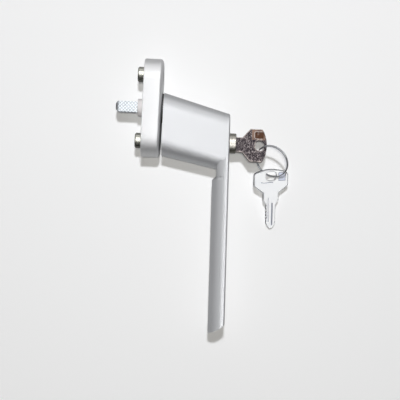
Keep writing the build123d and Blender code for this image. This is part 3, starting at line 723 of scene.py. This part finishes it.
def palePaintedSheenKeyFinish(spec):
    material, mat = newFinish("palePaintedSheenKey")
    along, across, up = mat.split(mat.attribute("keyPlace", "Vector"))
    rim = mat.attribute("rim")
    cloud = mat.noise(spec["cloudScale"], 3.0)
    plain = mat.tones(mat.smooth(cloud, *spec["cloudLimits"]), spec["dullTone"], spec["tone"])
    # The flattened pad: painted shade as a dark frame round its edge, and a bluish floor
    plain = mat.tones(inPatch(along, across, spec["padFrame"]), plain, spec["mark"])
    plain = mat.tones(inPatch(along, across, spec["padPatch"]), plain, spec["pad"])
    # Painted shade in the blade's groove, stronger on one side
    groove = spec["groove"]
    inGroove = (along > groove["from"]) * up.near(0.0, groove["halfDepth"])
    inGroove = inGroove * across.near(0.0, groove["halfWidth"])
    shaded = inGroove * ((across > 0.0) * groove["strong"] + groove["faint"])
    plain = mat.tones(shaded, plain, spec["mark"])
    # A thin dark wavy line across the bow
    wavyLine = spec["wavyLine"]
    first, last = wavyLine["across"]
    onWavyLine = (along - cloud * wavyLine["wander"]).near(wavyLine["along"], wavyLine["halfWidth"])
    plain = mat.tones(onWavyLine * (across > first) * (across < last), plain, spec["mark"])
    # Painted shade along the rim, fainter by the hole and broken up on the blade's face
    nearHole = inPatch(along, across, spec["hole"])
    onFace = (along > spec["bladeFrom"]) * (rim < spec["faceRim"])
    broken = onFace * mat.smooth(mat.noise(spec["breakScale"], 1.0), *spec["breakLimits"])
    edge = rim * (1.0 - nearHole * (1.0 - spec["rimAtHole"]))
    edge = edge * (1.0 - broken * (1.0 - spec["rimBroken"]))
    shown = mat.tones(edge, plain, spec["rim"])
    # The face is no metal: its paleness is painted reflection and its faint glow painted light; only the rim
    # is metal
    mat.finish(
        Base_Color=shown,
        Metallic=rim * spec["metallic"],
        Emission_Color=shown,
        Emission_Strength=spec["glow"],
        Roughness=cloud.around(spec["roughness"], spec["spread"]),
    )
    return material


finishes["wornPaintedDarkKey"] = wornPaintedDarkKeyFinish(wornPaintedDarkKeySpec)
finishes["palePaintedSheenKey"] = palePaintedSheenKeyFinish(palePaintedSheenKeySpec)
for node, body, finish in (("key", "key", "wornPaintedDarkKey"), ("spare_key", "spare", "palePaintedSheenKey")):
    work = makeKey(node, keyPlanes[node], keyShape)
    addPiece(node + "Shown", work, body, node, finishes[finish], keyShape["sharpAbove"])
print("keys ready")


# What each solid is finished with, also where a copy is shown in its place
finishOf = {
    "leverSatin": ("lever",),
    "rosetteSatinPaintedPale": ("rosette",),
    "crossedZinc": ("spindle",),
    "zincPlate": (
        "back_plate", "detent_disc", "tail_bar", "lock_bolt", "lock_cover_plate", "lock_cam"),
    "steelPaintedSheen": ("upper_sleeve", "lower_sleeve"),
    "turnedSteel": (
        "plate_screws", "cover_screws", "detent_ball_upper", "detent_ball_lower", "spindle_pin",
        "cylinder_pin", "hub_washer"),
    "springSteel": ("detent_spring_upper", "detent_spring_lower", "retaining_ring", "cam_clip"),
    "nickelPaintedSheen": ("plug",),
    "satinNickel": ("cylinder_housing",),
    "waferBrass": ("wafer_1", "wafer_2", "wafer_3", "wafer_4", "wafer_5"),
    "ringSteel": ("key_ring",),
    "naturalNylon": ("spindle_bush",),
    "blackNylon": ("slide_ring",),
    "wornPaintedDarkKey": ("key",),
    "palePaintedSheenKey": ("spare_key",),
}
for finish, members in finishOf.items():
    for member in members:
        nodes[member].data.materials.clear()
        nodes[member].data.materials.append(finishes[finish])
print("finishes ready")


# Table behind the handle; it lets the views from behind through
tableSpec = {
    "depth": 0.0154,  # just clear of the lying handle
    "halfSize": 3.0,
    "tone": (0.86, 0.86, 0.855), "mirroredTone": (0.27, 0.27, 0.267),
    "glow": 0.11, "mirroredGlow": 0.12,
}


def tableFinish(spec):
    material, mat = newFinish("paleTable")
    path = mat.add("ShaderNodeLightPath")
    seen, mirrored = path.out("Is Camera Ray"), path.out("Is Glossy Ray")
    tone = mat.tones(mirrored, spec["tone"], spec["mirroredTone"])
    diffuse = mat.add("ShaderNodeBsdfDiffuse", Color=tone).out()
    strength = seen * spec["glow"] + mirrored * spec["mirroredGlow"]
    glow = mat.add("ShaderNodeEmission", Strength=strength).out()
    sheet = mat.add("ShaderNodeAddShader", i0=diffuse, i1=glow).out()
    clear = mat.add("ShaderNodeBsdfTransparent").out()
    behind = mat.add("ShaderNodeNewGeometry").out("Backfacing")
    mat.end("ShaderNodeOutputMaterial", mat.add("ShaderNodeMixShader", Fac=behind, i1=sheet, i2=clear))
    return material


def makeTable(spec):
    half, y = spec["halfSize"], spec["depth"]
    mesh = bpy.data.meshes.new("tableTop")
    corners = [(-half, y, -half), (half, y, -half), (half, y, half), (-half, y, half)]
    mesh.from_pydata(corners, [], [(0, 1, 2, 3)])
    mesh.materials.append(tableFinish(spec))
    addObject("tableTop", mesh)


makeTable(tableSpec)


# Lamps by the angles that they stand off the camera's line, sideways and upwards, in degrees
lampSpec = {"aim": (0.04, 0.0, -0.058), "distance": 1.4, "tone": (1.0, 1.0, 1.0)}
# For what is dull: one at the camera, and one above it for the shadow
tableLamps = {
    "fillLamp": {
        "from": (0.0, 0.0), "distance": 1.3, "size": (0.08, 0.08), "power": 5.1,
        "tone": (1.0, 0.975, 0.91)},
    "shadowLamp": {
        "from": (0.0, 19.6), "distance": 1.05, "size": (0.07, 0.07), "power": 6.755,
        "tone": (0.985, 1.0, 1.045)},
}
# For the sheen on the metals
metalLamps = {
    "stripBase": {"from": (0.0, -66.0), "size": (0.3, 0.5), "power": 0.318},
    "stripFoot": {"from": (0.0, -42.0), "size": (0.2, 0.6), "power": 0.921},
    "stripLow": {"from": (0.0, -18.0), "size": (0.2, 0.6), "power": 1.551},
    "stripMiddle": {"from": (0.0, 8.0), "size": (0.2, 0.6), "power": 1.137},
    "stripHigh": {"from": (0.0, 34.0), "size": (0.2, 0.6), "power": 1.461},
    "sideRoom": {"from": (24.0, 5.0), "size": (0.5, 1.2), "power": 1.353},
    "farSash": {"from": (-52.0, 0.0), "size": (0.8, 1.4), "power": 0.435},
}


def makeLamp(name, spec, onMetal):
    sideways, upwards = (math.radians(angle) for angle in spec["from"])
    away = Vector((math.tan(sideways), -1.0, math.tan(upwards))).normalized()
    data = bpy.data.lights.new(name, "AREA")
    data.shape = "RECTANGLE"
    data.size, data.size_y = spec["size"]
    data.energy = spec["power"]
    data.color = spec["tone"]
    lamp = addObject(name, data)
    lamp.visible_glossy = onMetal
    lamp.visible_diffuse = not onMetal
    side = Vector((1.0, 0.0, 0.0))
    turn = Matrix((side, away.cross(side).normalized(), away)).transposed().to_4x4()
    lamp.matrix_world = Matrix.Translation(Vector(spec["aim"]) + away * spec["distance"]) @ turn


for name, spec in {**tableLamps, **metalLamps}.items():
    makeLamp(name, {**lampSpec, **spec}, name in metalLamps)


# The pale room round it, brighter towards the top of the picture and seen in reflections only
roomSpec = {
    "towardsTop": 0.865, "towardsRoom": 0.2, "towardsSash": 0.392,
    "overhead": 0.288, "overheadFocus": 3.0,
    "background": 0.87,
}


def makeRoom(spec):
    world = bpy.data.worlds.new("paleRoom")
    bpy.context.scene.world = world
    world.use_nodes = True
    room = Nodes(world.node_tree)
    x, y, z = room.split(room.add("ShaderNodeTexCoord").out("Generated"))
    light = (
        z.math("MAXIMUM", 0.0) * spec["towardsTop"]
        + x.math("MAXIMUM", 0.0) * spec["towardsRoom"]
        + (x * -1.0).math("MAXIMUM", 0.0) * spec["towardsSash"]
        + (y * -1.0).math("MAXIMUM", 0.0) ** spec["overheadFocus"] * spec["overhead"]
    )
    path = room.add("ShaderNodeLightPath")
    tone = path.out("Is Camera Ray") * spec["background"] + path.out("Is Glossy Ray") * light
    white = (1.0, 1.0, 1.0, 1.0)
    room.end("ShaderNodeOutputWorld", room.add("ShaderNodeBackground", Color=white, Strength=tone))


makeRoom(roomSpec)
bpy.context.scene.view_settings.view_transform = "Standard"
print("table and light ready")
